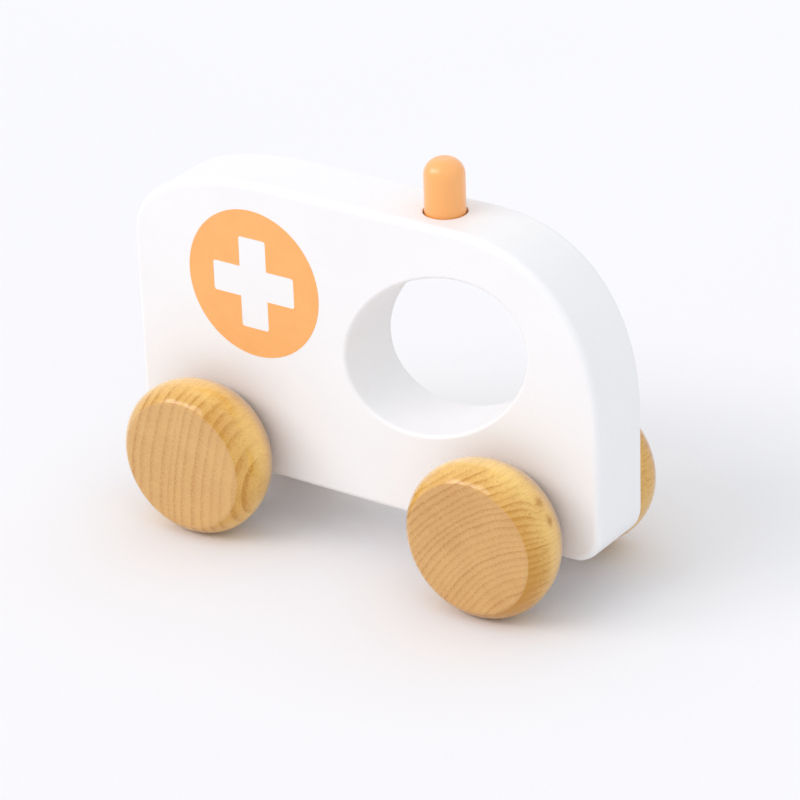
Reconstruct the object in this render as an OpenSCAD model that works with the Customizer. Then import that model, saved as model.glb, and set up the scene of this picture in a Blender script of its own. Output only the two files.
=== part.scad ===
// Wooden push-along ambulance: a thick painted board with an oval grip hole, a round
// beacon peg in its roof, and two wooden axles that each carry a pair of turned wheels.
// +X is the driving direction, +Y is the left side, +Z is up, and the wheels stand on Z = 0.

/* [Body] */
// Length of the body from its rear face to its front face
body_length = 134; // [130:1:160]
// Height of the body from its underside to its roof
body_height = 78; // [72:1:95]
// Thickness of the board that the body is cut from
body_thickness = 20; // [16:0.5:28]
// Rounding of the long edges of the body
edge_radius = 2.8; // [1:0.2:4]
// Length of the curve from the roof to the front, along the roof
cab_length = 40; // [30:1:44]
// Depth of the curve from the roof to the front, down the front
cab_drop = 46; // [30:1:56]
// Fullness of that curve, where 2 is an ellipse and more is squarer
cab_fullness = 2.26; // [2:0.02:3]
// Length of the curve from the roof to the rear, along the roof
rear_length = 46; // [20:1:60]
// Depth of the curve from the roof to the rear, down the rear
rear_drop = 22; // [12:1:40]
// Fullness of that curve, where 2 is an ellipse and more is squarer
rear_fullness = 2.42; // [2:0.02:3]
// Radius of the lower rear corner
rear_bottom_radius = 8; // [5:0.5:14]
// Radius of the lower front corner
front_bottom_radius = 8; // [5:0.5:14]

/* [Grip hole] */
// Half of the long axis of the oval grip hole
hole_half_length = 27.5; // [20:0.5:29]
// Half of the short axis of the oval grip hole
hole_half_width = 19.3; // [14:0.1:21]
// Tilt of the long axis, rising towards the front, in degrees
hole_tilt = 29; // [0:1:40]
// Distance of the hole's centre behind the front face
hole_from_front = 45.4; // [42:0.2:48]
// Distance of the hole's centre below the roof
hole_below_roof = 33.9; // [33:0.1:38]
// Rounding of the hole's edges
hole_edge_radius = 2; // [0.6:0.2:3]

/* [Beacon] */
// Diameter of the beacon peg
beacon_diameter = 10; // [9.4:0.1:12]
// Height of the beacon above the roof
beacon_height = 13.4; // [8:0.2:20]
// Depth of the beacon's blind bore in the roof
beacon_seat = 8; // [5:0.5:8.5]
// Radius of the beacon's rounded top
beacon_dome_radius = 4.2; // [2:0.1:4.6]
// Distance of the beacon behind the front face
beacon_from_front = 47.8; // [46:0.2:60]
// Gap all round between the beacon and its bore
beacon_clearance = 0.35; // [0.1:0.05:0.6]

/* [Wheels] */
// Radius of the wheels at their crown
wheel_radius = 20; // [17:0.5:22]
// Width of a wheel from its outer face to its inner face
wheel_width = 17.5; // [15:0.5:22]
// Distance of the crown behind the outer face
wheel_crown = 7; // [4:0.5:9]
// How far the edge of the outer face lies inside the crown
wheel_outer_inset = 3.6; // [1:0.1:6]
// How far the edge of the inner face lies inside the crown
wheel_inner_inset = 6.6; // [2:0.1:9]
// Gap between a wheel and the side of the body
wheel_gap = 1; // [0.6:0.1:2]

/* [Axles] */
// Diameter of the axle dowels
axle_diameter = 6; // [4:0.5:8]
// Gap all round between an axle and its bore in the body
axle_clearance = 0.2; // [0.1:0.05:0.4]
// Gap all round between an axle and its glued seat in a wheel
axle_glue_gap = 0.05; // [0.02:0.01:0.1]
// Depth of the blind seat for the axle in a wheel
axle_seat = 12; // [8:0.5:13]
// Pocket left for glue past each end of an axle
axle_end_gap = 0.5; // [0.2:0.1:1]
// Distance of the axles from the front face and from the rear face
axle_overhang = 25; // [20:0.5:32]
// Height of the axles above the underside of the body
axle_above_underside = 7; // [5.5:0.5:10]

/* [Emblem] */
// Radius of the round emblem printed on each side
emblem_radius = 19.3; // [14:0.1:20]
// Length of the arms of the cross that is left open in the emblem
cross_length = 23.2; // [16:0.2:26]
// Width of the arms of the cross
cross_width = 7.7; // [4:0.1:9]
// Distance of the emblem's centre in front of the rear face
emblem_from_rear = 36.2; // [30:0.2:37]
// Distance of the emblem's centre below the roof
emblem_below_roof = 26.6; // [24:0.2:32]
// Thickness of the printed film
emblem_film = 0.15; // [0.1:0.05:0.4]

/* [Hidden] */

// Places that follow from the sizes above
front_x = body_length / 2;
rear_x = -body_length / 2;
side_y = body_thickness / 2;
axle_z = wheel_radius;
underside_z = axle_z - axle_above_underside;
roof_z = underside_z + body_height;
front_axle_x = front_x - axle_overhang;
rear_axle_x = rear_x + axle_overhang;
wheel_inner_y = side_y + wheel_gap;
wheel_outer_y = wheel_inner_y + wheel_width;
hole_x = front_x - hole_from_front;
hole_z = roof_z - hole_below_roof;
beacon_x = front_x - beacon_from_front;
emblem_x = rear_x + emblem_from_rear;
emblem_z = roof_z - emblem_below_roof;

// Sides of the vehicle, as the sign of Y
LEFT = 1;
RIGHT = -1;

// How far a cut runs past the face that it opens
cut_past = 1;
// Steps along a full curve, a round corner, a rounded edge and the grip hole
curve_steps = 28;
corner_steps = 10;
edge_steps = 5;
hole_steps = 60;
// Fineness of the turned and drilled shapes
$fn = 96;

// Colours
PAINT_WHITE = [0.97, 0.96, 0.96];
PAINT_ORANGE = [1.0, 0.72, 0.46];
BEECH = [0.86, 0.69, 0.47];

// Points of an arc in the XZ plane, from angle a0 to angle a1
function arc(centre, radius, a0, a1) = [
    for (i = [0 : corner_steps])
        let (a = a0 + (a1 - a0) * i / corner_steps)
        centre + radius * [cos(a), sin(a)]
];

// Point of a full curve at a share of its way up, measured from the centre of the curve
function full_curve(length, drop, fullness, share) = [
    length * pow(cos(90 * share), 2 / fullness),
    drop * pow(sin(90 * share), 2 / fullness)
];

// Points of the cab curve, from the front face up to the roof
function cab_curve(inset) = [
    for (i = [0 : curve_steps])
        let (p = full_curve(cab_length - inset, cab_drop - inset, cab_fullness, i / curve_steps))
        [front_x - cab_length + p[0], roof_z - cab_drop + p[1]]
];

// Points of the rear curve, from the roof down to the rear face
function rear_curve(inset) = [
    for (i = [curve_steps : -1 : 0])
        let (p = full_curve(rear_length - inset, rear_drop - inset, rear_fullness, i / curve_steps))
        [rear_x + rear_length - p[0], roof_z - rear_drop + p[1]]
];

// Side outline of the body, drawn in by an inset
function body_outline(inset) = concat(
    arc([front_x - front_bottom_radius, underside_z + front_bottom_radius],
        front_bottom_radius - inset, -90, 0),
    cab_curve(inset),
    rear_curve(inset),
    arc([rear_x + rear_bottom_radius, underside_z + rear_bottom_radius],
        rear_bottom_radius - inset, 180, 270)
);

// Outline of the grip hole, widened by an amount
function hole_outline(widen) = [
    for (i = [0 : hole_steps - 1])
        let (
            a = 360 * i / hole_steps,
            along = (hole_half_length + widen) * cos(a),
            across = (hole_half_width + widen) * sin(a)
        )
        [
            hole_x + along * cos(hole_tilt) - across * sin(hole_tilt),
            hole_z + along * sin(hole_tilt) + across * cos(hole_tilt)
        ]
];

// Levels through the board for an edge rounding: [place in Y, distance from the full outline]
function near_levels(radius) = [
    for (i = [0 : edge_steps])
        let (a = 90 * i / edge_steps)
        [radius * (1 - cos(a)) - side_y, radius * (1 - sin(a))]
];
function far_levels(radius) = [
    for (i = [edge_steps : -1 : 0])
        near_levels(radius)[i] - [2 * near_levels(radius)[i][0], 0]
];
function board_levels(radius) = concat(near_levels(radius), far_levels(radius));
function cut_levels(radius) = concat(
    [[-side_y - cut_past, radius]], board_levels(radius), [[side_y + cut_past, radius]]
);

// One ring of points: a side outline set at a place in Y
function ring(outline, y) = [for (p = outline) [p[0], y, p[1]]];

// Closed skin over a list of rings that run along Y and have as many points each
module skin(rings) {
    count = len(rings[0]);
    last = len(rings) - 1;
    walls = [
        for (j = [0 : last - 1], i = [0 : count - 1])
            let (near = j * count, far = near + count, next = (i + 1) % count)
            each [[near + i, near + next, far + next], [near + i, far + next, far + i]]
    ];
    near_cap = [for (i = [count - 1 : -1 : 0]) i];
    far_cap = [for (i = [0 : count - 1]) last * count + i];
    polyhedron(points = [for (r = rings) each r], faces = concat(walls, [near_cap, far_cap]));
}

// Round bar along Y, centred on the middle of the vehicle
module cross_bar(x, diameter, length) {
    translate([x, 0, axle_z])
        rotate([90, 0, 0])
            cylinder(d = diameter, h = length, center = true);
}

// Half of a turned wheel's section: flat core and a crowned rim that meets the face
module rim_section(depth, inset) {
    rim_radius = (inset * inset + depth * depth) / (2 * inset);
    core = wheel_radius - rim_radius;
    intersection() {
        square([wheel_radius, depth]);
        union() {
            square([core, depth]);
            translate([core, depth]) circle(rim_radius);
        }
    }
}

// Wheel at an axle, on one side, with its blind seat for the axle
module wheel(x, side) {
    inner_depth = wheel_width - wheel_crown;
    translate([x, side * wheel_outer_y, axle_z])
        rotate([side * 90, 0, 0])
            difference() {
                rotate_extrude() {
                    rim_section(wheel_crown, wheel_outer_inset);
                    translate([0, wheel_width]) mirror([0, 1]) rim_section(inner_depth, wheel_inner_inset);
                }
                translate([0, 0, wheel_width - axle_seat])
                    cylinder(d = axle_diameter + 2 * axle_glue_gap, h = axle_seat + cut_past);
            }
}

// Axle dowel that reaches into the blind seats of both wheels
module axle(x) {
    cross_bar(x, axle_diameter, 2 * (wheel_inner_y + axle_seat - axle_end_gap));
}

// Printed film on one side: a round patch with an open cross
module emblem(side) {
    inner_y = side == LEFT ? side_y : -side_y - emblem_film;
    translate([emblem_x, inner_y + emblem_film, emblem_z])
        rotate([90, 0, 0])
            linear_extrude(emblem_film)
                difference() {
                    circle(emblem_radius);
                    square([cross_length, cross_width], center = true);
                    square([cross_width, cross_length], center = true);
                }
}

// Board with rounded edges, the grip hole, two axle bores and the beacon's bore
module body() {
    color(PAINT_WHITE)
        difference() {
            skin([for (l = board_levels(edge_radius)) ring(body_outline(l[1]), l[0])]);
            skin([for (l = cut_levels(hole_edge_radius)) ring(hole_outline(l[1]), l[0])]);
            for (x = [front_axle_x, rear_axle_x])
                cross_bar(x, axle_diameter + 2 * axle_clearance, body_thickness + 2 * cut_past);
            translate([beacon_x, 0, roof_z - beacon_seat])
                cylinder(d = beacon_diameter + 2 * beacon_clearance, h = beacon_seat + cut_past);
        }
}

// Beacon peg with a domed top, standing on the floor of its bore
module beacon() {
    radius = beacon_diameter / 2;
    top_flat = radius - beacon_dome_radius;
    full = beacon_seat + beacon_height;
    shoulder = full - beacon_dome_radius;
    color(PAINT_ORANGE)
        translate([beacon_x, 0, roof_z - beacon_seat])
            rotate_extrude() {
                square([radius, shoulder]);
                square([top_flat, full]);
                translate([top_flat, shoulder])
                    intersection() {
                        circle(beacon_dome_radius);
                        square(beacon_dome_radius);
                    }
            }
}

module emblem_left() {
    color(PAINT_ORANGE) emblem(LEFT);
}

module emblem_right() {
    color(PAINT_ORANGE) emblem(RIGHT);
}

module front_axle() {
    color(BEECH) axle(front_axle_x);
}

module wheel_front_left() {
    color(BEECH) wheel(front_axle_x, LEFT);
}

module wheel_front_right() {
    color(BEECH) wheel(front_axle_x, RIGHT);
}

module rear_axle() {
    color(BEECH) axle(rear_axle_x);
}

module wheel_rear_left() {
    color(BEECH) wheel(rear_axle_x, LEFT);
}

module wheel_rear_right() {
    color(BEECH) wheel(rear_axle_x, RIGHT);
}

body();
beacon();
emblem_left();
emblem_right();
front_axle();
wheel_front_left();
wheel_front_right();
rear_axle();
wheel_rear_left();
wheel_rear_right();
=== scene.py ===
"""Wooden push-along toy ambulance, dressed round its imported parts.

The body is a thick board, sawn to a side outline, rounded along its edges and painted white. A domed
peg stands in the roof as the beacon, a round emblem with an open cross is printed on each side, and two
dowel axles carry turned beech wheels. +X is the driving direction, +Y the left side and +Z up, in metres.
"""

import logging
import math
from contextlib import contextmanager
from dataclasses import dataclass, field
from enum import Enum
from typing import Callable, Iterable, Iterator, Union

import bmesh
import bpy
from mathutils import Matrix, Vector


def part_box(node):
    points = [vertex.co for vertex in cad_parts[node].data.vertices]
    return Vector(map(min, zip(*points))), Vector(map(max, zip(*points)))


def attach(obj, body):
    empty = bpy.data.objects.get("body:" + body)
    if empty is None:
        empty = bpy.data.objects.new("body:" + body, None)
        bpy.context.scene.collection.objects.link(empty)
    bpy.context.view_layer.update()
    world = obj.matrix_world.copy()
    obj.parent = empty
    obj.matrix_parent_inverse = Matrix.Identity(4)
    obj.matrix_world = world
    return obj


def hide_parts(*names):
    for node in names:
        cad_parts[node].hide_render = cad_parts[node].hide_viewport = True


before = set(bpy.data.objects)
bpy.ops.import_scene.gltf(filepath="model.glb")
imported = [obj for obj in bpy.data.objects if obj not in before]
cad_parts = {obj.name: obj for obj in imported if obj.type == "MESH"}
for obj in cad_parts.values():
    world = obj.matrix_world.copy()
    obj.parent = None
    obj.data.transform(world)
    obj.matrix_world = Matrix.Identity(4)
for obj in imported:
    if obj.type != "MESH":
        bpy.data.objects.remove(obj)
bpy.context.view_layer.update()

LOG = logging.getLogger("toy_ambulance")

MM = 0.001
TOUCH = 0.002 * MM
CREASE = math.radians(40)

Colour = tuple[float, float, float]
Place = tuple[float, float, float]
Ring = tuple[float, float]
Span = tuple[float, float]
Material = bpy.types.Material
Socket = bpy.types.NodeSocket
Key = Union[int, str]
Value = Union[float, Socket]

NOISE_SPAN: Span = (0.3, 0.7)
NOISE_MIDDLE: Place = (0.5, 0.5, 0.5)


class Side(Enum):
    """Side of the vehicle, as the sign of Y."""

    LEFT = 1
    RIGHT = -1


class Along(Enum):
    """Direction that a round piece is turned along."""

    Y = (0.0, 1.0, 0.0)
    Z = (0.0, 0.0, 1.0)

    @property
    def tilt(self) -> float:
        """Turn about X that lays a flat primitive across the axis."""
        return math.pi / 2 if self is Along.Y else 0.0

    def step(self, length: float) -> Vector:
        """Vector of that length along the axis."""
        return Vector(self.value) * length

    def widen(self, factor: float) -> Vector:
        """Scale that widens a ring about the axis."""
        return Vector(1.0 if share else factor for share in self.value)


class Pick(Enum):
    """Kind of element that is picked in edit mode, with the name of its list in a mesh."""

    VERT = "verts"
    EDGE = "edges"


class Body(Enum):
    """Moving bodies of the vehicle."""

    CAR = "car_body"
    FRONT = "front_wheelset"
    REAR = "rear_wheelset"


class Slot(Enum):
    """Names of the material slots."""

    WHITE_PAINT = "white_paint"
    ORANGE_PAINT = "orange_paint"
    ORANGE_PRINT = "orange_print"
    BEECH = "beech"
    DOWEL = "dowel"


class Box:
    """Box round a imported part."""

    def __init__(self, node: str) -> None:
        """Takes the box of a node from the imported parts."""
        self.low, self.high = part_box(node)

    @property
    def size(self) -> Vector:
        """Size along each axis."""
        return self.high - self.low

    @property
    def middle(self) -> Vector:
        """Centre of the box."""
        return (self.low + self.high) / 2


class Model:
    """A mesh piece on the bench, started from a primitive and shaped with the edit operators."""

    def __init__(self, name: str) -> None:
        """Takes the primitive that was just added, and bakes its place into its mesh.

        Args:
            name: name of the piece.
        """
        self.obj: bpy.types.Object = bpy.context.active_object
        self.obj.name = name
        self.obj.data.name = name
        bpy.ops.object.transform_apply()

    @classmethod
    def disc(cls, name: str, radius: float, centre: Vector, along: Along, segments: int) -> "Model":
        """Starts a piece from a flat disc.

        Args:
            name: name of the piece.
            radius: radius of the disc.
            centre: centre of the disc.
            along: axis that the disc lies across.
            segments: number of sides.

        Returns:
            The new piece.
        """
        bpy.ops.mesh.primitive_circle_add(
            vertices=segments,
            radius=radius,
            fill_type="NGON",
            location=centre,
            rotation=(along.tilt, 0.0, 0.0),
        )
        return cls(name)

    @classmethod
    def bar(
        cls, name: str, radius: float, start: Vector, along: Along, length: float, segments: int
    ) -> "Model":
        """Makes a closed round bar.

        Args:
            name: name of the piece.
            radius: radius of the bar.
            start: centre of the end that it starts from.
            along: axis of the bar.
            length: length of the bar, with its sign.
            segments: number of sides.

        Returns:
            The bar.
        """
        model = cls.disc(name, radius, start, along, segments)
        with model.editing():
            model.extrude(along.step(length))
        model.close()
        return model

    @classmethod
    def plate(cls, name: str, length: float, height: float, centre: Vector) -> "Model":
        """Starts a piece from an upright plate that lies across Y.

        Args:
            name: name of the piece.
            length: size along X.
            height: size along Z.
            centre: centre of the plate.

        Returns:
            The new piece.
        """
        bpy.ops.mesh.primitive_plane_add(size=1.0, location=centre, rotation=(Along.Y.tilt, 0.0, 0.0))
        bpy.context.active_object.scale = (length, height, 1.0)
        return cls(name)

    def select(self) -> None:
        """Makes the piece the active object and the only one selected."""
        bpy.ops.object.select_all(action="DESELECT")
        bpy.context.view_layer.objects.active = self.obj
        self.obj.select_set(True)

    @contextmanager
    def editing(self) -> Iterator[None]:
        """Opens the piece in edit mode with all of it selected, and closes it again."""
        self.select()
        bpy.ops.object.mode_set(mode="EDIT")
        bpy.ops.mesh.select_all(action="SELECT")
        yield
        bpy.ops.object.mode_set(mode="OBJECT")

    def pick(self, kind: Pick, test: Callable[[Vector], bool]) -> None:
        """Selects the elements in edit mode whose points all pass a test.

        Args:
            kind: kind of element to pick.
            test: says whether a point belongs to the pick.
        """
        bpy.ops.mesh.select_mode(type=kind.name)
        bpy.ops.mesh.select_all(action="DESELECT")
        shape = bmesh.from_edit_mesh(self.obj.data)
        for item in getattr(shape, kind.value):
            ends = [item] if kind is Pick.VERT else item.verts
            item.select_set(all(test(end.co) for end in ends))
        shape.select_flush_mode()
        bmesh.update_edit_mesh(self.obj.data)

    def extrude(self, step: Vector) -> None:
        """Extrudes what is picked by a step."""
        bpy.ops.mesh.extrude_region_move(TRANSFORM_OT_translate={"value": step})

    def scale(self, factors: Place, about: Vector) -> None:
        """Scales all of the piece in edit mode about a point."""
        bpy.ops.mesh.select_all(action="SELECT")
        bpy.ops.transform.resize(value=factors, center_override=about)

    def turn(self, centre: Vector, along: Along, rings: Iterable[Ring]) -> None:
        """Draws the picked end face through a row of rings, as a lathe would.

        Args:
            centre: centre of the end face at the start.
            along: axis of the piece.
            rings: place along the axis and radius of each ring, of which the first is the end face itself.
        """
        row = iter(rings)
        place, radius = next(row)
        middle = centre.copy()
        for next_place, next_radius in row:
            step = along.step(next_place - place)
            middle += step
            self.extrude(step)
            bpy.ops.transform.resize(value=along.widen(next_radius / radius), center_override=middle)
            place, radius = next_place, next_radius

    def bevel(self, width: float, segments: int, vertices: bool = False, profile: float = 0.5) -> None:
        """Rounds what is picked.

        Args:
            width: width of the rounding.
            segments: number of steps across it.
            vertices: rounds picked corners, and not edges.
            profile: shape of the rounding, where a half is a circle.
        """
        bpy.ops.mesh.bevel(
            offset=width,
            affect="VERTICES" if vertices else "EDGES",
            segments=segments,
            profile=profile,
            loop_slide=False,
        )

    def cut(self, cutter: "Model") -> None:
        """Cuts another model out of this one and throws that model away.

        Args:
            cutter: the model to cut with.
        """
        bpy.context.view_layer.objects.active = self.obj
        modifier = self.obj.modifiers.new("cut", "BOOLEAN")
        modifier.operation = "DIFFERENCE"
        modifier.solver = "EXACT"
        modifier.object = cutter.obj
        bpy.ops.object.modifier_apply(modifier=modifier.name)
        bpy.data.objects.remove(cutter.obj, do_unlink=True)

    def close(self) -> None:
        """Merges doubled points and turns all faces outwards."""
        with self.editing():
            bpy.ops.mesh.remove_doubles(threshold=TOUCH)
            bpy.ops.mesh.normals_make_consistent(inside=False)

    def smooth(self) -> None:
        """Shades the piece smooth, with creases kept sharp and flat faces kept flat."""
        self.select()
        bpy.ops.object.shade_smooth_by_angle(angle=CREASE)
        modifier = self.obj.modifiers.new("flat faces", "WEIGHTED_NORMAL")
        modifier.weight = 100
        modifier.keep_sharp = True
        bpy.ops.object.modifier_apply(modifier=modifier.name)

    def copy(self, name: str, move: Matrix) -> "Model":
        """Copies the piece with a mesh of its own.

        Args:
            name: name of the copy.
            move: how the copy is moved.

        Returns:
            The copy.
        """
        self.select()
        bpy.ops.object.duplicate()
        bpy.context.active_object.matrix_world = move
        return Model(name)

    def dress(self, material: Material, body: Body, slot: Slot, node: str) -> None:
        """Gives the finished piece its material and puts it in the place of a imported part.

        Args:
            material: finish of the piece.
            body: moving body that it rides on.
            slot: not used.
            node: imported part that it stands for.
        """
        self.obj.data.materials.clear()
        self.obj.data.materials.append(material)
        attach(self.obj, body.value)
        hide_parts(node)
        LOG.info("%s: %d faces, rides on %s", self.obj.name, len(self.obj.data.polygons), body.value)


class Graph:
    """Node tree of a material or of the world, with short calls for the nodes that are used."""

    def __init__(self, owner: Union[Material, bpy.types.World]) -> None:
        """Empties the node tree of its owner.

        Args:
            owner: material or world that the tree belongs to.
        """
        owner.use_nodes = True
        self.owner = owner
        self.tree: bpy.types.NodeTree = owner.node_tree
        self.tree.nodes.clear()

    @classmethod
    def of_material(cls, name: str) -> "Graph":
        """Node tree of a new material."""
        return cls(bpy.data.materials.new(name))

    def node(self, kind: str, feeds: dict[Key, object], **settings: object) -> bpy.types.NodeOutputs:
        """Adds a node.

        Args:
            kind: type of the node.
            feeds: another node's output or a plain value for inputs, by their names or numbers.
            settings: properties of the node.

        Returns:
            The node's outputs.
        """
        node = self.tree.nodes.new(kind)
        for key, value in settings.items():
            setattr(node, key, value)
        for key, value in feeds.items():
            if isinstance(value, Socket):
                self.tree.links.new(value, node.inputs[key])
            else:
                node.inputs[key].default_value = value
        return node.outputs

    def math(self, operation: str, a: Value, b: Value = 0.0, c: Value = 0.0) -> Socket:
        """Result of one operation on numbers."""
        return self.node("ShaderNodeMath", {0: a, 1: b, 2: c}, operation=operation)[0]

    def plus(self, a: Value, b: Value) -> Socket:
        """Sum of two numbers."""
        return self.math("ADD", a, b)

    def times(self, a: Value, b: Value) -> Socket:
        """Product of two numbers."""
        return self.math("MULTIPLY", a, b)

    def share(self, a: Value, b: Value, part: float) -> Socket:
        """Mean of two numbers, in which the first one counts for that part."""
        return self.plus(self.times(a, part), self.times(b, 1.0 - part))

    def vector_math(self, operation: str, a: object, b: object) -> Socket:
        """Result of one operation on vectors, a number for a distance and a vector otherwise."""
        outputs = self.node("ShaderNodeVectorMath", {0: a, 1: b}, operation=operation)
        return outputs["Value" if operation == "DISTANCE" else "Vector"]

    def stretch(self, point: Socket, scale: Place) -> Socket:
        """A point with each of its axes scaled."""
        return self.vector_math("MULTIPLY", point, scale)

    def millimetres(self) -> Socket:
        """Place on the piece in millimetres."""
        return self.stretch(self.node("ShaderNodeTexCoord", {})["Object"], (1.0 / MM,) * 3)

    def split(self, point: Socket) -> bpy.types.NodeOutputs:
        """The three numbers of a point."""
        return self.node("ShaderNodeSeparateXYZ", {0: point})

    def join(self, x: Value, y: Value, z: Value) -> Socket:
        """A point made of three numbers."""
        return self.node("ShaderNodeCombineXYZ", {0: x, 1: y, 2: z})[0]

    def noise(self, point: Socket, scale: float, detail: float) -> bpy.types.NodeOutputs:
        """Noise at a point, as a number and as a colour."""
        return self.node("ShaderNodeTexNoise", {"Vector": point, "Scale": scale, "Detail": detail})

    def cloud(self, point: Socket, scale: float, detail: float) -> Socket:
        """Noise as one number from 0 to 1."""
        return self.noise(point, scale, detail)[0]

    def streaks(self, point: Socket, scale: Place, detail: float) -> Socket:
        """Noise with a scale of its own along each axis, as one number from 0 to 1."""
        return self.cloud(self.stretch(point, scale), 1.0, detail)

    def fade(self, value: Value, low: float, high: float, start: float = 0.0, end: float = 1.0) -> Socket:
        """A number that goes smoothly from start to end while a value goes from low to high."""
        feeds = {0: value, 1: low, 2: high, 3: start, 4: end}
        return self.node("ShaderNodeMapRange", feeds, interpolation_type="SMOOTHSTEP")[0]

    def mix(self, factor: Value, a: object, b: object) -> Socket:
        """A colour between two others."""
        a, b = ((*colour, 1.0) if isinstance(colour, tuple) else colour for colour in (a, b))
        return self.node("ShaderNodeMix", {0: factor, 6: a, 7: b}, data_type="RGBA")[2]

    def bump(self, height: Socket, depth: float) -> Socket:
        """Normal of a surface with a relief of that depth."""
        return self.node("ShaderNodeBump", {"Distance": depth, "Height": height})[0]

    def surface(self, **sockets: object) -> Material:
        """Closes the material with a principled surface.

        Args:
            sockets: values or links of the surface's sockets, with an underscore for each space.

        Returns:
            The finished material.
        """
        feeds = {key.replace("_", " "): value for key, value in sockets.items()}
        shader = self.node("ShaderNodeBsdfPrincipled", feeds)[0]
        self.node("ShaderNodeOutputMaterial", {"Surface": shader})
        return self.owner


@dataclass(frozen=True)
class SatinPaint:
    """Sprayed satin paint on sanded wood: faint mottling, and the grain just telling through."""

    name: str
    colour: Colour
    shade: Colour
    roughness: Span = (0.42, 0.51)
    coat: float = 0.0
    coat_roughness: float = 0.28
    mottle_per_mm: float = 0.06
    mottle_share: float = 0.7
    peel_per_mm: float = 0.9
    peel_share: float = 0.6
    grain_scale: Place = (0.05, 1.4, 1.4)
    tone_span: Span = (0.35, 0.65)
    relief: float = 0.02 * MM

    def material(self) -> Material:
        """Builds the material.

        Returns:
            The material.
        """
        graph = Graph.of_material(self.name)
        point = graph.millimetres()
        mottle = graph.cloud(point, self.mottle_per_mm, detail=4.0)
        grain = graph.streaks(point, self.grain_scale, detail=3.0)
        peel = graph.cloud(point, self.peel_per_mm, detail=2.0)
        tone = graph.fade(graph.share(mottle, grain, self.mottle_share), *self.tone_span)
        return graph.surface(
            Base_Color=graph.mix(tone, self.colour, self.shade),
            Roughness=graph.fade(mottle, *NOISE_SPAN, *self.roughness),
            Normal=graph.bump(graph.share(peel, grain, self.peel_share), self.relief),
            Coat_Weight=self.coat,
            Coat_Roughness=self.coat_roughness,
        )


@dataclass(frozen=True)
class PrintedInk:
    """Thin matte screen ink, with slightly uneven cover."""

    name: str
    colour: Colour
    thin: Colour
    roughness: Span = (0.58, 0.7)
    cover_per_mm: float = 0.25
    cover_share: float = 0.75
    speck_per_mm: float = 6.0
    tone_span: Span = (0.36, 0.64)
    relief: float = 0.01 * MM

    def material(self) -> Material:
        """Builds the material.

        Returns:
            The material.
        """
        graph = Graph.of_material(self.name)
        point = graph.millimetres()
        cover = graph.cloud(point, self.cover_per_mm, detail=5.0)
        speck = graph.cloud(point, self.speck_per_mm, detail=2.0)
        tone = graph.fade(graph.share(cover, speck, self.cover_share), *self.tone_span)
        return graph.surface(
            Base_Color=graph.mix(tone, self.colour, self.thin),
            Roughness=graph.fade(cover, *NOISE_SPAN, *self.roughness),
            Normal=graph.bump(speck, self.relief),
        )


@dataclass(frozen=True)
class Knot:
    """Small swirl in the rings, at a place measured from the wheel's centre, in millimetres."""

    place: Place
    size: float
    rise: float
    core: float = 0.0


@dataclass(frozen=True)
class Log:
    """How a wheel was cut from its log, in millimetres and degrees.

    The rings run round a pith that lies off the wheel, at a distance and a bearing from its centre. The
    face tone darkens the outer face. The rim shade darkens the whole rim as painted shade, for a wheel
    whose rim lies in shadow. The heart tone darkens the side of the rim next to the pith, partly as
    heartwood and partly as painted shade on the side away from the key lamps.
    """

    pith_distance: float
    pith_bearing: float
    ring_width: float
    ring_shift: float = 0.0
    face_tone: float = 0.0
    # Painted shade over the whole rim, for a wheel whose rim lies in shadow.
    painted_rim_shade: float = 0.0
    # Darker rim on the pith side: partly heartwood, partly painted shade on the side away from the key
    # lamps.
    heart_and_shade_tone: float = 0.2
    knots: tuple[Knot, ...] = ()


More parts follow.
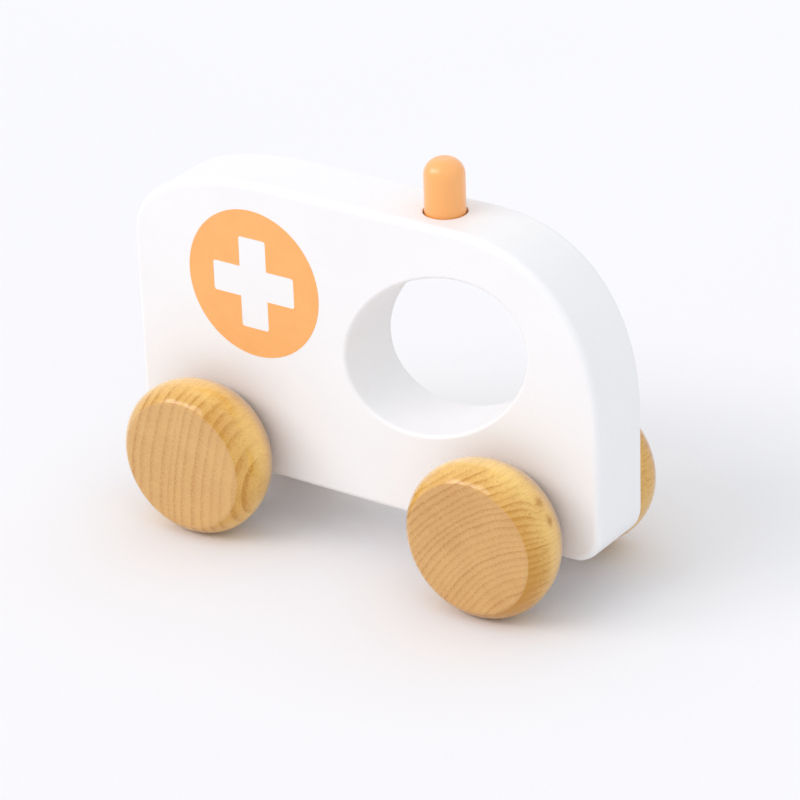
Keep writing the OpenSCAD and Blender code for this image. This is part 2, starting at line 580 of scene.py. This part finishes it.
@dataclass(frozen=True)
class TurnedBeech:
    """Turned and waxed beech with its fibre along Y: rings and rays on the faces, flecks on the rim.

    Lengths are in millimetres, except the centre, outer_y and the relief. A darkness mixes from the light
    colour at 0 to the dark colour at 1. The scales run round the pith, along the fibre and outwards.
    """

    name: str
    log: Log
    centre: Vector
    outer_y: float
    rim_light: Colour = (1.0, 0.655, 0.2)
    rim_dark: Colour = (0.54, 0.24, 0.02)
    raw_light: Colour = (0.66, 0.41, 0.19)
    raw_dark: Colour = (0.46, 0.25, 0.09)
    face_light: Colour = (0.7, 0.411, 0.147)
    face_dark: Colour = (0.5, 0.225, 0.055)
    wander_per_mm: float = 0.05
    wander: float = 2.2
    lean: float = 0.03
    log_reach: float = 20.0
    year_per_mm: float = 0.13
    year_shift: float = 2.0
    faint_year: float = 0.4
    late_rise: Span = (0.38, 0.9)
    late_end: Span = (0.91, 1.0)
    late_dark: float = 0.85
    early_dark: float = 0.2
    pore_scale: Place = (1.3, 0.12, 3.4)
    pore_span: Span = (0.32, 0.62)
    pore_gap: float = 0.25
    pore_dark: Span = (-0.08, 0.12)
    fibre_scale: Place = (4.0, 0.12, 4.0)
    fibre_span: Span = (0.4, 0.75)
    fibre_dark: Span = (-0.06, 0.16)
    ray_scale: Place = (3.0, 0.42, 0.25)
    ray_span: Span = (0.58, 0.7)
    ray_light: float = 0.18
    fleck_scale: Place = (4.0, 0.3, 2.4)
    fleck_span: Span = (0.6, 0.7)
    fleck_dark: float = 0.28
    blush_per_mm: float = 0.09
    blush_dark: float = 0.22
    face_rings: float = 0.68
    crown_rings: float = 0.16
    slant_rings: float = 0.65
    slant_dark: float = 0.42
    face_band: Span = (0.3, 0.21)
    slant_band: float = 7.0
    waxed_width: float = 13.5
    waxed_fade: float = 5.0
    roughness: Span = (0.36, 0.5)
    gloss: float = 0.1
    wax: float = 1.0
    wax_roughness: float = 0.11
    fibre_height: float = 0.5
    ring_height: float = -0.2
    relief: float = 0.02 * MM

    def in_log(self, graph: Graph, point: Socket) -> tuple[Socket, ...]:
        """Finds a point in the log, with the wander of a grown trunk.

        The point is turned and moved so that the pith is the origin and the wheel lies out along X.

        Args:
            graph: the node tree.
            point: place on the wheel in millimetres.

        Returns:
            The distance from the pith, the way round it and the place along the fibre.
        """
        turn = Matrix.Rotation(math.radians(self.log.pith_bearing) + math.pi, 3, "Y")
        shift = Vector((self.log.pith_distance, 0.0, 0.0)) - turn @ (self.centre / MM)
        feeds = {"Vector": point, "Rotation": turn.to_euler(), "Location": shift}
        spot = graph.node("ShaderNodeMapping", feeds)[0]
        drift = graph.noise(spot, self.wander_per_mm, detail=3.0)["Color"]
        drift = graph.vector_math("SUBTRACT", drift, NOISE_MIDDLE)
        x, y, z = graph.split(graph.vector_math("ADD", spot, graph.stretch(drift, (self.wander,) * 3)))
        x = graph.plus(x, graph.times(y, self.lean))
        square = graph.plus(graph.times(x, x), graph.times(z, z))
        around = graph.times(graph.math("ARCTAN2", z, x), self.log.pith_distance)
        return graph.math("SQRT", square), around, y

    def swirl(self, graph: Graph, point: Socket) -> tuple[Value, Value]:
        """Swell and darkness that the knots add.

        Args:
            graph: the node tree.
            point: place on the wheel in millimetres.

        Returns:
            How far the rings are pushed out, and how dark the knots' cores are.
        """
        rise: Value = 0.0
        dark: Value = 0.0
        for knot in self.log.knots:
            place = Vector(knot.place) + self.centre / MM
            away = graph.math("DIVIDE", graph.vector_math("DISTANCE", point, tuple(place)), knot.size)
            swell = graph.math("EXPONENT", graph.times(graph.times(away, away), -1.0))
            rise = graph.plus(graph.times(swell, knot.rise), rise)
            dark = graph.plus(graph.times(swell, knot.core), dark)
        return rise, dark

    def rings(self, graph: Graph, radius: Socket) -> Socket:
        """Darkness of the growth rings: slow to the late wood, then a sharp end.

        Args:
            graph: the node tree.
            radius: distance from the pith.

        Returns:
            A number from 0 to 1.
        """
        slow = graph.cloud(graph.join(radius, 0.0, 0.0), self.year_per_mm, detail=1.0)
        count = graph.math("DIVIDE", graph.plus(radius, self.log.ring_shift), self.log.ring_width)
        count = graph.plus(count, graph.times(slow, self.year_shift))
        phase = graph.math("FRACT", count)
        late = graph.times(graph.fade(phase, *self.late_rise), graph.fade(phase, *self.late_end, 1.0, 0.0))
        early = graph.fade(phase, 0.0, self.late_rise[1], 0.0, self.early_dark)
        feeds = {"W": graph.math("FLOOR", count)}
        year = graph.node("ShaderNodeTexWhiteNoise", feeds, noise_dimensions="1D")["Value"]
        strength = graph.fade(year, 0.0, 1.0, self.faint_year, 1.0)
        return graph.times(graph.plus(graph.times(late, self.late_dark), early), strength)

    def material(self) -> Material:
        """Builds the material.

        Returns:
            The material.
        """
        graph = Graph.of_material(self.name)
        point = graph.millimetres()
        radius, around, along = self.in_log(graph, point)
        rise, core = self.swirl(graph, point)
        grain = graph.join(around, along, radius)
        pores = graph.streaks(grain, self.pore_scale, detail=2.0)
        rings = self.rings(graph, graph.plus(radius, rise))
        rings = graph.times(rings, graph.fade(pores, *self.pore_span, self.pore_gap, 1.0))
        fibre = graph.streaks(grain, self.fibre_scale, detail=3.0)
        rays = graph.fade(graph.streaks(grain, self.ray_scale, detail=1.0), *self.ray_span)
        flecks = graph.fade(graph.streaks(grain, self.fleck_scale, detail=1.0), *self.fleck_span)
        blush = graph.cloud(point, self.blush_per_mm, detail=2.0)
        blush = graph.fade(blush, *NOISE_SPAN, 0.0, self.blush_dark)
        # Rim darker towards the pith: partly heartwood, partly painted shade on the wheel's side away from
        # the key lamps.
        near = self.log.pith_distance - self.log_reach
        heart_and_shade = graph.fade(radius, near, near + 2 * self.log_reach, self.log.heart_and_shade_tone, 0.0)

        depth = graph.math("ABSOLUTE", graph.split(point)[1])
        outer = self.outer_y / MM
        slant = graph.fade(depth, outer - self.slant_band, outer)
        lines = graph.times(rings, graph.math("MULTIPLY_ADD", slant, self.slant_rings, self.crown_rings))
        dark = graph.math("MAXIMUM", lines, graph.times(flecks, self.fleck_dark))
        dark = graph.plus(dark, graph.fade(fibre, *self.fibre_span, *self.fibre_dark))
        dark = graph.plus(dark, graph.math("MULTIPLY_ADD", slant, self.slant_dark, core))
        # Painted shade joins the rim's darkness here: the pith-side tone and the whole-rim shade.
        dark = graph.plus(dark, graph.plus(heart_and_shade, self.log.painted_rim_shade))
        dark = graph.plus(dark, blush)
        bare = outer - self.waxed_width
        waxed = graph.fade(depth, bare, bare + self.waxed_fade)
        raw = graph.mix(dark, self.raw_light, self.raw_dark)
        rim = graph.mix(waxed, raw, graph.mix(dark, self.rim_light, self.rim_dark))

        dark = graph.math("MULTIPLY_ADD", rings, self.face_rings, graph.plus(blush, self.log.face_tone))
        dark = graph.math("SUBTRACT", dark, graph.times(rays, self.ray_light))
        dark = graph.plus(dark, graph.fade(pores, *NOISE_SPAN, *self.pore_dark))
        end = graph.mix(dark, self.face_light, self.face_dark)
        face = graph.fade(depth, *(outer - inset for inset in self.face_band))
        sunk = graph.times(rings, self.ring_height)
        return graph.surface(
            Base_Color=graph.mix(face, rim, end),
            Roughness=graph.fade(face, 0.0, 1.0, *self.roughness),
            Normal=graph.bump(graph.math("MULTIPLY_ADD", fibre, self.fibre_height, sunk), self.relief),
            Specular_IOR_Level=self.gloss,
            Coat_Weight=self.wax,
            Coat_Roughness=self.wax_roughness,
        )


@dataclass(frozen=True)
class PlainDowel:
    """Sanded beech dowel with its fibre along Y."""

    name: str
    light: Colour = (0.70, 0.45, 0.20)
    dark: Colour = (0.50, 0.28, 0.10)
    roughness: Span = (0.5, 0.62)
    fibre_scale: Place = (1.6, 0.06, 1.6)
    fleck_scale: Place = (3.5, 0.4, 3.5)
    fleck_span: Span = (0.6, 0.72)
    fleck_dark: float = 0.4
    relief: float = 0.03 * MM

    def material(self) -> Material:
        """Builds the material.

        Returns:
            The material.
        """
        graph = Graph.of_material(self.name)
        point = graph.millimetres()
        fibre = graph.streaks(point, self.fibre_scale, detail=4.0)
        fleck = graph.fade(graph.streaks(point, self.fleck_scale, detail=1.0), *self.fleck_span)
        tone = graph.plus(graph.fade(fibre, *NOISE_SPAN), graph.times(fleck, self.fleck_dark))
        return graph.surface(
            Base_Color=graph.mix(tone, self.light, self.dark),
            Roughness=graph.fade(fibre, *NOISE_SPAN, *self.roughness),
            Normal=graph.bump(fibre, self.relief),
        )


@dataclass(frozen=True)
class Curve:
    """Rounded corner of the side outline: a quarter ellipse at a fullness of 2, and squarer above it."""

    length: float
    drop: float
    fullness: float = 2.0


@dataclass
class Board:
    """Body of the vehicle: the painted board with its grip hole and bores."""

    axle_places: tuple[Vector, ...]
    beacon_foot: Vector
    cab: Curve = Curve(40 * MM, 46 * MM, 2.26)
    rear: Curve = Curve(46 * MM, 22 * MM, 2.42)
    lower: Curve = Curve(8 * MM, 8 * MM)
    least_steps: int = 10
    edge_radius: float = 1.8 * MM
    edge_steps: int = 8
    hole_half_length: float = 27.5 * MM
    hole_half_width: float = 19.3 * MM
    hole_tilt: float = math.radians(29)
    hole_from_front: float = 45.4 * MM
    hole_below_roof: float = 33.9 * MM
    hole_segments: int = 144
    hole_match: float = 0.01
    hole_edge_radius: float = 1 * MM
    hole_edge_steps: int = 7
    axle_bore_radius: float = 3.2 * MM
    axle_bore_segments: int = 64
    seat_radius: float = 5.35 * MM
    seat_depth: float = 8 * MM
    seat_segments: int = 72
    lip: float = 0.3 * MM
    lip_steps: int = 3
    past: float = 2 * MM
    paint: SatinPaint = SatinPaint("white paint", (0.91, 0.896, 0.903), (0.897, 0.882, 0.89))
    box: Box = field(default_factory=lambda: Box("body"))

    @property
    def hole_centre(self) -> Vector:
        """Centre of the grip hole."""
        return self.box.high - Vector((self.hole_from_front, self.box.high.y, self.hole_below_roof))

    def round_corner(self, model: Model, corner: Vector, curve: Curve) -> None:
        """Rounds one corner of the plate.

        The plate is stretched until the curve is as long as it is deep, rounded, and stretched back.

        Args:
            model: the plate.
            corner: place of the corner.
            curve: shape of the rounding.
        """
        stretch = curve.length / curve.drop
        origin = Vector((0.0, 0.0, 0.0))
        spot = Vector((corner.x, corner.y, corner.z * stretch))
        steps = max(self.least_steps, round(curve.length / MM))
        model.scale((1.0, 1.0, stretch), origin)
        model.pick(Pick.VERT, lambda p: (p - spot).length < TOUCH)
        model.bevel(curve.length, steps, vertices=True, profile=2 ** (-2 / curve.fullness))
        model.scale((1.0, 1.0, 1 / stretch), origin)

    def sawn_board(self) -> Model:
        """Saws the board to its side outline and rounds its long edges.

        Returns:
            The board.
        """
        low, high, size = self.box.low, self.box.high, self.box.size
        middle = self.box.middle
        model = Model.plate("ambulance_body", size.x, size.z, Vector((middle.x, low.y, middle.z)))
        corners = (
            (high.x, high.z, self.cab),
            (low.x, high.z, self.rear),
            (low.x, low.z, self.lower),
            (high.x, low.z, self.lower),
        )
        with model.editing():
            for x, z, curve in corners:
                self.round_corner(model, Vector((x, low.y, z)), curve)
            bpy.ops.mesh.select_all(action="SELECT")
            model.extrude(Vector((0.0, size.y, 0.0)))
        model.close()
        with model.editing():
            for face in (low.y, high.y):
                model.pick(Pick.EDGE, lambda p: abs(p.y - face) < TOUCH)
                model.bevel(self.edge_radius, self.edge_steps)
        return model

    def cross_bar(self, centre: Vector, radius: float, segments: int) -> Model:
        """Makes a bar that reaches past both sides of the board, to cut with."""
        start = Vector((centre.x, self.box.low.y - self.past, centre.z))
        return Model.bar("bar", radius, start, Along.Y, self.box.size.y + 2 * self.past, segments)

    def on_hole(self, point: Vector) -> bool:
        """Says whether a point lies on the wall of the oval.

        Args:
            point: the point.

        Returns:
            Whether it does.
        """
        flat = Matrix.Rotation(self.hole_tilt, 3, "Y") @ (point - self.hole_centre)
        share = (flat.x / self.hole_half_length) ** 2 + (flat.z / self.hole_half_width) ** 2
        return abs(share - 1) < self.hole_match

    def cut_grip_hole(self, model: Model) -> None:
        """Cuts the oval grip hole and rounds both its edges.

        Args:
            model: the board.
        """
        centre = self.hole_centre
        cutter = self.cross_bar(centre, self.hole_half_length, self.hole_segments)
        with cutter.editing():
            cutter.scale((1.0, 1.0, self.hole_half_width / self.hole_half_length), centre)
            bpy.ops.transform.rotate(value=self.hole_tilt, orient_axis="Y", center_override=centre)
        model.cut(cutter)
        for face in (self.box.low.y, self.box.high.y):
            with model.editing():
                model.pick(Pick.EDGE, lambda p: abs(p.y - face) < TOUCH and self.on_hole(p))
                model.bevel(self.hole_edge_radius, self.hole_edge_steps)

    def drill(self, model: Model) -> None:
        """Drills the axle bores and the beacon's blind seat, and softens the lip of the seat.

        Args:
            model: the board.
        """
        for place in self.axle_places:
            model.cut(self.cross_bar(place, self.axle_bore_radius, self.axle_bore_segments))
        height = self.seat_depth + self.past
        model.cut(Model.bar("bar", self.seat_radius, self.beacon_foot, Along.Z, height, self.seat_segments))
        roof = self.box.high.z
        axis = Vector((self.beacon_foot.x, self.beacon_foot.y, roof))
        reach = self.seat_radius + 5 * TOUCH
        with model.editing():
            model.pick(Pick.EDGE, lambda p: abs(p.z - roof) < TOUCH and (p - axis).length < reach)
            model.bevel(self.lip, self.lip_steps)

    def build(self) -> None:
        """Makes and dresses the board."""
        model = self.sawn_board()
        self.cut_grip_hole(model)
        self.drill(model)
        model.close()
        model.smooth()
        model.dress(self.paint.material(), Body.CAR, Slot.WHITE_PAINT, "body")


@dataclass
class Beacon:
    """Domed peg in the roof."""

    dome_radius: float = 4.2 * MM
    dome_steps: int = 14
    foot_bevel: float = 0.4 * MM
    foot_steps: int = 2
    segments: int = 72
    paint: SatinPaint = SatinPaint(
        "orange paint", (1.0, 0.438, 0.114), (0.985, 0.418, 0.105), roughness=(0.34, 0.43), coat=1.0
    )
    box: Box = field(default_factory=lambda: Box("beacon"))

    @property
    def foot(self) -> Vector:
        """Centre of the peg's lower end."""
        return Vector((self.box.middle.x, self.box.middle.y, self.box.low.z))

    @property
    def radius(self) -> float:
        """Radius of the peg."""
        return self.box.size.x / 2

    def rings(self) -> Iterator[Ring]:
        """Lays out the peg's rings, from its foot to its top.

        Returns:
            Height and radius of each ring.
        """
        shoulder = self.box.high.z - self.dome_radius
        yield self.box.low.z, self.radius
        for step in range(self.dome_steps + 1):
            angle = math.pi / 2 * step / self.dome_steps
            reach = self.radius - self.dome_radius * (1 - math.cos(angle))
            yield shoulder + self.dome_radius * math.sin(angle), reach

    def build(self) -> None:
        """Makes and dresses the peg."""
        model = Model.disc("beacon_peg", self.radius, self.foot, Along.Z, self.segments)
        with model.editing():
            model.turn(self.foot, Along.Z, self.rings())
        model.close()
        with model.editing():
            model.pick(Pick.EDGE, lambda p: abs(p.z - self.box.low.z) < TOUCH)
            model.bevel(self.foot_bevel, self.foot_steps)
        model.smooth()
        model.dress(self.paint.material(), Body.CAR, Slot.ORANGE_PAINT, "beacon")


@dataclass
class Emblem:
    """Printed round patch with an open cross, on one side of the body."""

    side: Side
    cross_length: float = 23.9 * MM
    cross_width: float = 7.95 * MM
    cross_corner: float = 0.7 * MM
    corner_steps: int = 5
    cut_depth: float = 2 * MM
    film: float = 0.06 * MM
    segments: int = 128

    @property
    def node(self) -> str:
        """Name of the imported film."""
        return f"emblem_{self.side.name.lower()}"

    def cross(self, centre: Vector) -> Model:
        """Makes a cross with softened ends to cut the patch with.

        Args:
            centre: centre of the cross, outside the patch.

        Returns:
            The cross.
        """
        reach = (self.cross_length - self.cross_width) / 2
        half = self.cross_width / 2
        model = Model.plate("cross", self.cross_width, self.cross_width, centre)

        def in_middle(point: Vector) -> bool:
            """Says whether a point lies in the square where the arms meet."""
            return max(abs(point.x - centre.x), abs(point.z - centre.z)) < half + TOUCH

        for way in (Vector((1, 0, 0)), Vector((-1, 0, 0)), Vector((0, 0, 1)), Vector((0, 0, -1))):
            with model.editing():
                model.pick(Pick.EDGE, lambda p: in_middle(p) and abs((p - centre).dot(way) - half) < TOUCH)
                model.extrude(way * reach)
        with model.editing():
            model.pick(Pick.VERT, lambda p: not in_middle(p))
            model.bevel(self.cross_corner, self.corner_steps, vertices=True)
            bpy.ops.mesh.select_all(action="SELECT")
            model.extrude(Vector((0.0, -self.side.value * self.cut_depth, 0.0)))
        model.close()
        return model

    def build(self, ink: Material) -> None:
        """Makes and dresses the print.

        Args:
            ink: material of both prints.
        """
        box = Box(self.node)
        inner_y = box.low.y if self.side is Side.LEFT else box.high.y
        centre = Vector((box.middle.x, inner_y, box.middle.z))
        film = self.side.value * self.film
        model = Model.bar(f"{self.node}_print", box.size.x / 2, centre, Along.Y, film, self.segments)
        model.cut(self.cross(centre + Vector((0.0, self.side.value * self.cut_depth / 2, 0.0))))
        model.close()
        model.smooth()
        model.dress(ink, Body.CAR, Slot.ORANGE_PRINT, self.node)


@dataclass
class Wheel:
    """Turned wheel: flat outer face, crowned rim and a blind seat for the axle."""

    crown: float = 6.4 * MM
    outer_inset: float = 3.5 * MM
    outer_rings: int = 12
    outer_edge: float = 0.5 * MM
    outer_edge_steps: int = 5
    inner_inset: float = 5.8 * MM
    inner_rings: int = 14
    inner_edge: float = 0.8 * MM
    inner_edge_steps: int = 4
    seat_radius: float = 3.05 * MM
    seat_depth: float = 12 * MM
    segments: int = 128
    box: Box = field(default_factory=lambda: Box("wheel_front_right"))

    @property
    def radius(self) -> float:
        """Radius at the crown."""
        return self.box.size.z / 2

    @property
    def face_centre(self) -> Vector:
        """Centre of the outer face."""
        return Vector((self.box.middle.x, self.box.low.y, self.box.middle.z))

    def rim(self, depth: float, inset: float, steps: int) -> list[Ring]:
        """Rings of one half of the rim, from the face to the crown.

        Args:
            depth: distance from the face to the crown.
            inset: how far the face's edge lies inside the crown.
            steps: number of rings less one.

        Returns:
            Distance behind the face and radius of each ring.
        """
        curve = (inset**2 + depth**2) / (2 * inset)
        whole = math.asin(depth / curve)
        angles = [whole * (1 - step / steps) for step in range(steps + 1)]
        return [(depth - curve * math.sin(a), self.radius - curve * (1 - math.cos(a))) for a in angles]

    def rings(self) -> list[Ring]:
        """Lays out all rings, from the outer face to the inner face.

        Returns:
            Place along Y and radius of each ring.
        """
        width = self.box.size.y
        outer = self.rim(self.crown, self.outer_inset, self.outer_rings)
        inner = self.rim(width - self.crown, self.inner_inset, self.inner_rings)
        rows = outer + [(width - depth, radius) for depth, radius in reversed(inner[:-1])]
        return [(self.box.low.y + depth, radius) for depth, radius in rows]

    def at_rim(self, point: Vector) -> bool:
        """Says whether a point lies nearer to the rim than to the axle seat."""
        return math.hypot(point.x - self.face_centre.x, point.z - self.face_centre.z) > self.radius / 2

    def build(self) -> Model:
        """Turns the front right wheel, which the others are copied from.

        Returns:
            The wheel.
        """
        rings = self.rings()
        model = Model.disc("wheel", rings[0][1], self.face_centre, Along.Y, self.segments)
        with model.editing():
            model.turn(self.face_centre, Along.Y, rings)
            bpy.ops.mesh.inset(thickness=rings[-1][1] - self.seat_radius)
            model.extrude(Vector((0.0, -self.seat_depth, 0.0)))
        model.close()
        with model.editing():
            model.pick(Pick.EDGE, lambda p: abs(p.y - self.box.low.y) < TOUCH)
            model.bevel(self.outer_edge, self.outer_edge_steps)
            model.pick(Pick.EDGE, lambda p: abs(p.y - self.box.high.y) < TOUCH and self.at_rim(p))
            model.bevel(self.inner_edge, self.inner_edge_steps)
        model.smooth()
        return model


@dataclass
class Wheelset:
    """One axle with its two wheels."""

    body: Body
    logs: dict[Side, Log]
    end_bevel: float = 0.5 * MM
    end_steps: int = 2
    segments: int = 48

    @property
    def word(self) -> str:
        """Word for the wheelset in the names of nodes."""
        return self.body.name.lower()

    @property
    def axle(self) -> str:
        """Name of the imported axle."""
        return f"{self.word}_axle"

    def place(self) -> Vector:
        """Centre of the axle."""
        return Box(self.axle).middle

    def build_axle(self, dowel: Material) -> None:
        """Makes and dresses the dowel axle, with rounded ends.

        Args:
            dowel: material of both axles.
        """
        box = Box(self.axle)
        start = Vector((box.middle.x, box.low.y, box.middle.z))
        model = Model.bar(f"{self.axle}_dowel", box.size.x / 2, start, Along.Y, box.size.y, self.segments)
        with model.editing():
            for end in (box.low.y, box.high.y):
                model.pick(Pick.EDGE, lambda p: abs(p.y - end) < TOUCH)
                model.bevel(self.end_bevel, self.end_steps)
        model.smooth()
        model.dress(dowel, self.body, Slot.DOWEL, self.axle)

    def fit_wheels(self, pattern: Model, pattern_place: Vector) -> None:
        """Copies the wheel to both ends of the axle and gives each its own piece of wood.

        A left wheel is moved to the other end first, and then turned round about the vehicle's middle.

        Args:
            pattern: the front right wheel.
            pattern_place: centre of the axle that it was turned for.
        """
        for side, log in self.logs.items():
            hand = side.name.lower()
            node = f"wheel_{self.word}_{hand}"
            box = Box(node)
            turn = Matrix.Rotation(math.pi if side is Side.LEFT else 0.0, 4, "Z")
            shift = -side.value * self.place().x - pattern_place.x
            wheel = pattern.copy(f"{node}_beech", turn @ Matrix.Translation((shift, 0.0, 0.0)))
            outer_y = max(abs(box.low.y), abs(box.high.y))
            wood = TurnedBeech(f"beech {self.word} {hand}", log, box.middle, outer_y)
            wheel.dress(wood.material(), self.body, Slot.BEECH, node)


@dataclass
class StudioCamera:
    """Camera of the product picture."""

    azimuth: float = math.radians(35.04)
    elevation: float = math.radians(26.16)
    roll: float = math.radians(-1.98)
    distance: float = 971.4 * MM
    aim: Vector = field(default_factory=lambda: Vector((3.71, 0.87, 37.11)) * MM)
    lens_mm: float = 180.0
    sensor_mm: float = 36.0
    clip: float = 20.0

    def build(self) -> None:
        """Adds the camera and makes it the scene's own."""
        across, ahead = math.sin(self.azimuth), math.cos(self.azimuth)
        flat = math.cos(self.elevation)
        back = Vector((across * flat, -ahead * flat, math.sin(self.elevation)))
        right = Vector((ahead, across, 0.0))
        turn = Matrix((right, back.cross(right), back)).transposed() @ Matrix.Rotation(self.roll, 3, "Z")
        data = bpy.data.cameras.new("studio camera")
        data.lens = self.lens_mm
        data.sensor_width = self.sensor_mm
        data.clip_start = self.distance / self.clip
        data.clip_end = self.distance * self.clip
        camera = bpy.data.objects.new("studio camera", data)
        camera.matrix_world = Matrix.Translation(self.aim + back * self.distance) @ turn.to_4x4()
        bpy.context.scene.collection.objects.link(camera)
        bpy.context.scene.camera = camera


@dataclass(frozen=True)
class Lamp:
    """One soft lamp far away, with the direction towards it, its strength and its width in degrees."""

    name: str
    direction: Place
    strength: float
    spread: float
    colour: Colour

    def build(self) -> None:
        """Adds the lamp."""
        data = bpy.data.lights.new(self.name, "SUN")
        data.energy = self.strength
        data.angle = math.radians(self.spread)
        data.color = self.colour
        lamp = bpy.data.objects.new(self.name, data)
        lamp.rotation_euler = Vector(self.direction).to_track_quat("Z", "Y").to_euler()
        bpy.context.scene.collection.objects.link(lamp)


@dataclass
class Studio:
    """Pale floor, sky light and lamps."""

    floor_size: float = 8.0
    floor_colour: Colour = (0.89, 0.882, 0.904)
    floor_shade: float = 0.99
    floor_cloud_per_mm: float = 0.004
    floor_roughness: float = 0.9
    floor_gloss: float = 0.1
    sky_colour: Colour = (0.955, 0.995, 1.0)
    sky_strength: float = 0.70
    seen_sky: Colour = (0.947, 0.939, 0.982)
    lamps: tuple[Lamp, ...] = (
        Lamp("left key lamp", (-0.693, -0.545, 0.472), 0.44, 22.0, (1.0, 0.935, 0.925)),
        Lamp("middle key lamp", (-0.481, -0.663, 0.575), 0.32, 22.0, (1.0, 0.935, 0.935)),
        Lamp("right key lamp", (-0.225, -0.692, 0.686), 0.31, 22.0, (1.0, 0.935, 0.935)),
        Lamp("top lamp", (-0.04, 0.03, 0.999), 0.63, 120.0, (1.0, 0.95, 1.0)),
        Lamp("side lamp", (0.875, -0.235, 0.423), 0.22, 80.0, (0.6, 0.88, 1.0)),
    )

    def floor(self) -> None:
        """Lays the floor."""
        bpy.ops.mesh.primitive_plane_add(size=self.floor_size)
        floor = bpy.context.active_object
        floor.name = "floor"
        graph = Graph.of_material("pale floor")
        cloud = graph.cloud(graph.millimetres(), self.floor_cloud_per_mm, detail=2.0)
        shade = tuple(c * self.floor_shade for c in self.floor_colour)
        material = graph.surface(
            Base_Color=graph.mix(graph.fade(cloud, *NOISE_SPAN), self.floor_colour, shade),
            Roughness=self.floor_roughness,
            Specular_IOR_Level=self.floor_gloss,
        )
        floor.data.materials.append(material)

    def sky(self) -> None:
        """Sets the even light from all round, and the pale wall that the camera sees past the floor."""
        graph = Graph(bpy.data.worlds.new("studio"))
        bpy.context.scene.world = graph.owner
        light, seen = (
            graph.node("ShaderNodeBackground", {"Color": (*colour, 1.0), "Strength": strength})[0]
            for colour, strength in ((self.sky_colour, self.sky_strength), (self.seen_sky, 1.0))
        )
        rays = graph.node("ShaderNodeLightPath", {})
        shown = rays["Is Camera Ray"]
        for ray in ("Is Glossy Ray", "Is Transmission Ray"):
            shown = graph.math("MAXIMUM", shown, rays[ray])
        mixed = graph.node("ShaderNodeMixShader", {0: shown, 1: light, 2: seen})[0]
        graph.node("ShaderNodeOutputWorld", {"Surface": mixed})

    def build(self) -> None:
        """Sets up the studio."""
        bpy.context.scene.view_settings.view_transform = "Standard"
        self.floor()
        self.sky()
        for lamp in self.lamps:
            lamp.build()


def main() -> None:
    """Builds the vehicle, the studio and the camera."""
    logging.basicConfig(level=logging.INFO, format="%(name)s: %(message)s")
    knots = (
        Knot((16.5, -0.4, 11.0), size=4.6, rise=4.2),
        Knot((15.1, -0.4, 13.0), size=1.3, rise=1.5, core=0.7),
        Knot((17.9, -0.4, 8.8), size=1.1, rise=1.5, core=0.9),
    )
    front_logs = {
        # The front right wheel's strong pith-side tone is partly painted shade on its front side.
        Side.RIGHT: Log(45.0, -50.5, ring_width=1.62, face_tone=0.17, heart_and_shade_tone=0.5, knots=knots),
        # The far front wheel's rim gets painted shade, as it lies in shadow.
        Side.LEFT: Log(64.0, 118.0, ring_width=2.3, ring_shift=0.7, painted_rim_shade=0.38),
    }
    rear_logs = {
        Side.RIGHT: Log(82.0, -10.0, ring_width=2.6),
        Side.LEFT: Log(52.0, 35.0, ring_width=2.2, ring_shift=1.1),
    }
    front = Wheelset(Body.FRONT, front_logs)
    rear = Wheelset(Body.REAR, rear_logs)
    beacon = Beacon()
    Board((front.place(), rear.place()), beacon.foot).build()
    beacon.build()
    ink = PrintedInk("orange ink", (0.945, 0.449, 0.146), (0.93, 0.432, 0.137)).material()
    for side in Side:
        Emblem(side).build(ink)
    dowel = PlainDowel("plain dowel").material()
    pattern = Wheel().build()
    for wheelset in (front, rear):
        wheelset.build_axle(dowel)
        wheelset.fit_wheels(pattern, front.place())
    bpy.data.objects.remove(pattern.obj, do_unlink=True)
    Studio().build()
    StudioCamera().build()


if __name__ == "__main__":
    main()
